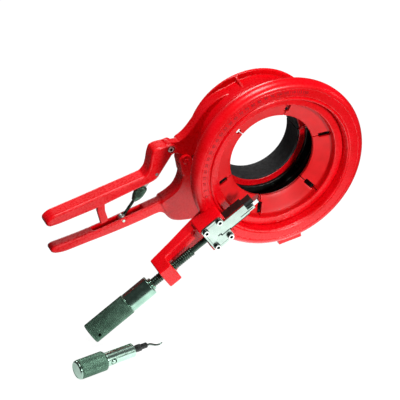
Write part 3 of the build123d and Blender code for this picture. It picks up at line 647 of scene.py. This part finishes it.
def carve(obj, *tools):
    """Cuts other solids out of a piece, and removes them."""
    for tool in tools:
        cut = obj.modifiers.new("cut", "BOOLEAN")
        cut.operation = "DIFFERENCE"
        cut.solver = "EXACT"
        cut.object = tool
        settle(obj)
        bpy.data.objects.remove(tool)


def merged(name, *objects):
    """Several meshes as one piece."""
    bm = bmesh.new()
    for obj in objects:
        bm.from_mesh(obj.data)
        bpy.data.objects.remove(obj)
    mesh = bpy.data.meshes.new(name)
    bm.to_mesh(mesh)
    bm.free()
    return in_scene(bpy.data.objects.new(name, mesh))


def profile(points, radius, longest):
    """A turned outline, rounded at its corners and cut into short runs."""
    return refined(rounded(points, radius, closed=False), longest, closed=False)


def make_feed_knob():
    """Feed knob: plain sleeve with a pin hole, and a knurled grip with a cross hole."""
    outline = profile([(6.5, 230), (12.6, 230), (13.5, 231), (13.5, 267.2), (12.9, 268),
                       (13.6, 268.6), (14.2, 269.4), (14.2, 330.6), (13.3, 331.6), (2, 331.6)],
                      0.4, 0.42)
    knurl = diamond_knurl(54, 4.6, 0.38, 269.8, 330.2)
    knob = turned("feed_knob_grip", outline, *FEED_AXIS, "knurled_steel", 324, knurl)
    cross_at = ARM_OUT * KNOB_CROSS_OUT + Vector((0, FEED_Y + 1, 0))
    pin_at = ARM_OUT * KNOB_PIN_OUT + Vector((0, FEED_Y, 0))
    carve(knob,
          drill("cross_hole", 2.5, 0, 18, cross_at, FRONT, 32),
          drill("pin_hole", 1.55, -16, 16, pin_at, ARM_ACROSS, 32))
    paint_two(knob, "knurled_steel", "knob_steel",
              lambda point: point.dot(ARM_OUT) < KNOB_SLEEVE_END)
    smooth(knob, 30)
    stand_for(knob, "feed", "knurled_steel", "feed_knob")


def make_feed_screw():
    """Spindle: head and journal, neck, and the screw with its coarse thread."""
    outline = profile([(1, 120), (4.2, 120), (4.4, 120.3), (4.4, 123.5), (3.2, 123.5),
                       (3.2, 136.6), (3.9, 136.6), (4.0, 137), (4.0, 160), (5.4, 160),
                       (6.0, 160.8), (6.0, 267), (1, 267)], 0.2, 0.34)
    coarse = thread(3.0, 0.55, 161, 229)
    screw = turned("feed_spindle", outline, *FEED_AXIS, "dark_steel", 60, coarse)
    smooth(screw, 40)
    stand_for(screw, "feed", "dark_steel", "feed_screw")


def make_collar():
    """Grooved collar between the screw and the knob."""
    outline = rounded([(6.05, 226), (7.4, 226), (8.5, 227), (8.5, 228.2), (7.9, 228.6),
                       (8.5, 229), (8.5, 230), (6.05, 230)], 0.25, closed=True)
    collar = turned("collar_ring", outline, *FEED_AXIS, "knob_steel", 72, closed=True)
    smooth(collar, 40)
    stand_for(collar, "feed", "bright_steel", "knob_collar")


def make_adjuster_nut():
    """Adjusting nut: knurled barrel with a tapered lower end."""
    outline = profile([(2.4, 25), (5.2, 25), (6.4, 26.4), (7.3, 28.5), (7.3, 37.5), (6.2, 42.5),
                       (3.4, 48.6), (2.4, 49)], 1.2, 0.5)
    knurl = diamond_knurl(26, 3.8, 0.6, 27.2, 41.5)
    nut = turned("adjuster_grip", outline, *LINK_AXIS, "knurled_steel", 180, knurl)
    smooth(nut, 35)
    stand_for(nut, "adjuster", "knurled_steel", "adjuster_nut")


def make_link():
    """The link's lower half, an eye and its threaded screw; the upper half gets eased edges."""
    rim = rounded([(2.1, -4), (4.5, -4), (4.5, 4), (2.1, 4)], 0.5, closed=True)
    eye = turned("lower_eye", rim, LINK_BOTTOM, -FRONT, "pin_steel", 48, closed=True)
    stem = profile([(0.6, 35), (2.2, 35.6), (2.2, LINK_LENGTH - 3.6), (0.6, LINK_LENGTH - 3)],
                   0.2, 0.2)
    fine = thread(0.8, 0.28, 36, LINK_LENGTH - 6)
    screw = turned("lower_screw", stem, *LINK_AXIS, "pin_steel", 28, fine)
    rod = merged("link_rod_screw", eye, screw)
    paint_two(rod, "dark_steel", "screw_zinc",
              lambda point: (point - LINK_BOTTOM).length < LINK_EYE_REACH)
    smooth(rod, 35)
    stand_for(rod, "link", "pin_steel", "link_rod")
    weld(NODES["link_eye"])
    ease(NODES["link_eye"], 0.4)


def make_deburrer_handle():
    """Hand deburrer's body: knurled grip, neck groove and polished shank with the button's hole."""
    outline = profile([(8.2, 3), (12.0, 3), (13.0, 4), (13.0, 39.6), (12.2, 41), (9.2, 41.3),
                       (9.0, 42.2), (9.5, 42.8), (9.5, 83.2), (8.7, 84), (5, 84)], 0.4, 0.42)
    knurl = diamond_knurl(50, 4.4, 0.36, 5.2, 38.8)
    body = turned("deburrer_grip", outline, *HAND_TOOL_AXIS, "knurled_steel", 300, knurl)
    button_at = HAND_TOOL_AT + HAND_TOOL_ALONG * BUTTON_ALONG
    carve(body, drill("button_hole", 4.3, 5, 15, button_at, HAND_TOOL_FRONT, 40))
    paint_two(body, "bright_steel", "knurled_steel",
              lambda point: (point - HAND_TOOL_AT).dot(HAND_TOOL_ALONG) < HAND_GRIP_END)
    smooth(body, 30)
    stand_for(body, "hand_deburrer", "knurled_steel", "deburrer_handle")


def make_deburrer_cap():
    """Polished end cap with a chamfer and a fine rim."""
    outline = rounded([(0.01, 0.5), (9.6, 0.5), (10.2, 0), (11.0, 0), (12.6, 1.6), (12.6, 3),
                       (0.01, 3)], 0.25, closed=False)
    cap = turned("deburrer_end", outline, *HAND_TOOL_AXIS, "bright_steel", 96)
    smooth(cap, 30)
    stand_for(cap, "hand_deburrer", "bright_steel", "deburrer_cap")


def make_detent():
    """Ball-shaped release button."""
    outline = [(4.2, 3.8)] + arc((0, 6.3), 4.2, 4.2, 0, 80, 10)
    button_at = HAND_TOOL_AT + HAND_TOOL_ALONG * BUTTON_ALONG
    ball = turned("detent_ball", outline, button_at, HAND_TOOL_FRONT, "bright_steel", 48)
    smooth(ball, 40)
    stand_for(ball, "button", "bright_steel", "detent_button")


def make_blade_holder():
    """Black stepped holder with a knurled waist."""
    outline = profile([(1.7, 66), (4.9, 66), (4.9, 87.5), (4.3, 88), (4.3, 89), (4.9, 89.5),
                       (4.9, 95.4), (4.3, 96), (3.8, 96.2), (3.8, 104.6), (3.0, 105.5),
                       (1.7, 105.5)], 0.2, 0.4)
    knurl = straight_knurl(24, 0.3, 89.4, 95.6)
    holder = turned("holder_body", outline, *HAND_TOOL_AXIS, "black_oxide", 72, knurl)
    smooth(holder, 35)
    stand_for(holder, "hand_deburrer", "black_oxide", "blade_holder")


def make_swivel_blade():
    """Round shank that bends into an S-shaped scraping edge, thinner towards its tip."""
    route = [(77, 0, 0, 1.6), (108, 0, 0, 1.6), (112, -0.8, -1.2, 1.55), (117, -2.0, -3.6, 1.4),
             (121.5, -2.4, -4.6, 1.3), (125.5, -2.6, -4.0, 1.2), (127.3, -2.6, -2.6, 0.9)]
    curve = bpy.data.curves.new("swivel_edge", "CURVE")
    curve.dimensions = "3D"
    spline = curve.splines.new("NURBS")
    spline.points.add(len(route) - 1)
    for point, (distance, back, up, radius) in zip(spline.points, route):
        place = HAND_TOOL_AT + HAND_TOOL_ALONG * distance - HAND_TOOL_FRONT * back
        place += Vector((0, 0, up))
        point.co = (*(place * MM), 1)
        point.radius = radius
    spline.order_u = 3
    spline.use_endpoint_u = True
    spline.resolution_u = 12
    curve.bevel_depth = MM
    curve.bevel_resolution = 5
    curve.use_fill_caps = True
    curve.materials.append(MATERIALS["hand_blade"])
    blade = in_scene(bpy.data.objects.new("swivel_edge", curve))
    stand_for(blade, "swivel_blade", "blade_steel", "deburring_blade")


def make_plate_screws():
    """Four socket screws that hold the cover plate, painted in two tones by how light falls: a
    bright top face as painted highlight, and dark sides and socket as painted shade.
    """
    head = 3.9
    outline = [(0.01, -9.9), (2.4, -9.9), (2.5, 0), (4.2, 0), (4.2, head), (3.7, 4.4), (2.3, 4.4),
               (2.1, 4.1), (2.1, 1.8), (0.01, 1.8)]
    made = []
    for out in PLATE_SCREWS_OUT:
        for side in PLATE_SCREWS_ACROSS:
            seat = ARM_OUT * out + ARM_ACROSS * side + Vector((0, PLATE_FRONT_Y, 0))
            made.append(turned("screw", outline, seat, FRONT, "pin_steel", 48))
    screws = merged("plate_screw_set", *made)
    # The top face is a painted highlight; the sides and the socket get dark oxide as painted shade.
    paint_two(screws, "screw_zinc", "black_oxide",
              lambda point: point.y >= PLATE_FRONT_Y - head)
    smooth(screws, 40)
    stand_for(screws, "rotor", slot_of("plate_screws"), "plate_screws")


def make_lever_screw():
    """Bright socket screw at the lever's pivot, with a dark ring under its head and a dark socket,
    both painted shade.
    """
    socket_r, pin_r, front, rear = 2.1, 4.0, LEVER_PIN_FRONT, LEVER_PIN_REAR
    outline = [(0.01, rear), (3.6, rear), (pin_r, rear + 0.4), (pin_r, front + 0.6),
               (3.6, front + 1), (socket_r, front + 1), (socket_r, front - 1), (0.01, front - 1)]
    pin = turned("pin", outline, LEVER_PIN_AT, FRONT, "pin_steel", 48)
    rim = rounded([(4.1, front), (5.1, front), (5.1, front + 0.5), (4.1, front + 0.5)],
                  0.1, closed=True)
    shade_ring = turned("shade_ring", rim, LEVER_PIN_AT, FRONT, "pin_steel", 48, closed=True)

    def is_painted_shade(point):
        offset = point - LEVER_PIN_AT
        radius = math.hypot(offset.x, offset.z)
        return radius > pin_r + 0.05 or (radius < socket_r + 0.05 and offset.y < 0)

    screw = merged("lever_pivot_screw", pin, shade_ring)
    # The ring under the head and the socket's inner faces are dark oxide: painted shade.
    paint_two(screw, "screw_zinc", "black_oxide", is_painted_shade)
    smooth(screw, 40)
    stand_for(screw, "lever", slot_of("lever_pivot_pin"), "lever_pivot_pin")


def make_jaw_pin():
    """Pivot pin of the two jaws, riveted and painted over."""
    outline = profile([(0.01, -13.5), (3.2, -13.5), (4.0, -12.9), (4.0, 8.9), (3.2, 9.5),
                       (0.01, 9.5)], 0.4, 2)
    pin = turned("jaw_pivot_rivet", outline, JAW_PIN_AT, FRONT, "red_casting", 48)
    smooth(pin, 40)
    stand_for(pin, body_of("jaw_pivot_pin"), slot_of("jaw_pivot_pin"), "jaw_pivot_pin")


def ease(obj, width):
    """Slightly rounds the sharp edges of a machined CAD piece."""
    bevel = obj.modifiers.new("ease", "BEVEL")
    bevel.width = width * MM
    bevel.segments = 3
    bevel.limit_method = "ANGLE"
    bevel.angle_limit = math.radians(30)
    bevel.use_clamp_overlap = True
    bevel.harden_normals = False


def ease_machined_pieces():
    widths = {"cover_plate": 0.35, "tool_slide": 0.4, "cutter_blade": 0.2}
    widths |= {f"guide_segment_{index}": 0.4 for index in range(1, 7)}
    for node, width in widths.items():
        weld(NODES[node])
        ease(NODES[node], width)


make_castings()
make_turning_ring()
make_retaining_ring()
make_graduations()
make_feed_knob()
make_feed_screw()
make_collar()
make_adjuster_nut()
make_link()
make_deburrer_handle()
make_deburrer_cap()
make_detent()
make_blade_holder()
make_swivel_blade()
make_plate_screws()
make_lever_screw()
make_jaw_pin()
ease_machined_pieces()

# ---------- CAD nodes that keep their shape ----------

for node_name, node_object in NODES.items():
    if not node_object.hide_render:
        paint(node_object, slot_of(node_name))


# ---------- stage ----------

def make_floor():
    mesh = bpy.data.meshes.new("floor")
    corners = [(-1, -1), (1, -1), (1, 1), (-1, 1)]
    verts = [Vector((x * FLOOR_REACH, y * FLOOR_REACH, FLOOR_Z)) * MM for x, y in corners]
    mesh.from_pydata(verts, [], [(0, 1, 2, 3)])
    floor = in_scene(bpy.data.objects.new("floor", mesh))
    mesh.materials.append(floor_white())


def area_light(name, at, target, size, watts):
    """A square lamp; places and size in metres."""
    data = bpy.data.lights.new(name, "AREA")
    data.shape = "SQUARE"
    data.size = size
    data.energy = watts
    lamp = in_scene(bpy.data.objects.new(name, data))
    lamp.location = Vector(at)
    lamp.rotation_mode = "QUATERNION"
    lamp.rotation_quaternion = (Vector(target) - Vector(at)).to_track_quat("-Z", "Y")


def make_world():
    """White surroundings to look at, which light the object only a little."""
    world = bpy.data.worlds.new("studio")
    world.use_nodes = True
    background = world.node_tree.nodes["Background"]
    background.inputs["Color"].default_value = (1, 1, 1, 1)
    seen = world.node_tree.nodes.new("ShaderNodeLightPath")
    strength = world.node_tree.nodes.new("ShaderNodeMapRange")
    strength.inputs["To Min"].default_value = WORLD_LIGHT
    strength.inputs["To Max"].default_value = 1.0
    world.node_tree.links.new(seen.outputs["Is Camera Ray"], strength.inputs["Value"])
    world.node_tree.links.new(strength.outputs["Result"], background.inputs["Strength"])
    bpy.context.scene.world = world


def make_camera():
    data = bpy.data.cameras.new("camera")
    data.lens = CAMERA_LENS
    data.sensor_width = 36
    data.clip_end = 100
    camera = in_scene(bpy.data.objects.new("camera", data))
    camera.location = CAMERA_AT * MM
    camera.rotation_mode = "QUATERNION"
    camera.rotation_quaternion = (CAMERA_TARGET - CAMERA_AT).to_track_quat("-Z", "Y")
    bpy.context.scene.camera = camera


make_floor()
make_world()
make_camera()
area_light("overhead", (-0.1, -0.1, 2.2), (0, 0, 0), 0.9, 44)
area_light("front", (0.6, -2.5, 1.0), (-0.1, 0, 0), 0.4, 50)
area_light("right", (2.0, -1.0, 0.3), (0, 0, 0), 0.5, 2)
area_light("back", (0.3, 2.5, 0.7), (0, 0, 0), 0.9, 16)
bpy.context.scene.view_settings.view_transform = "Standard"
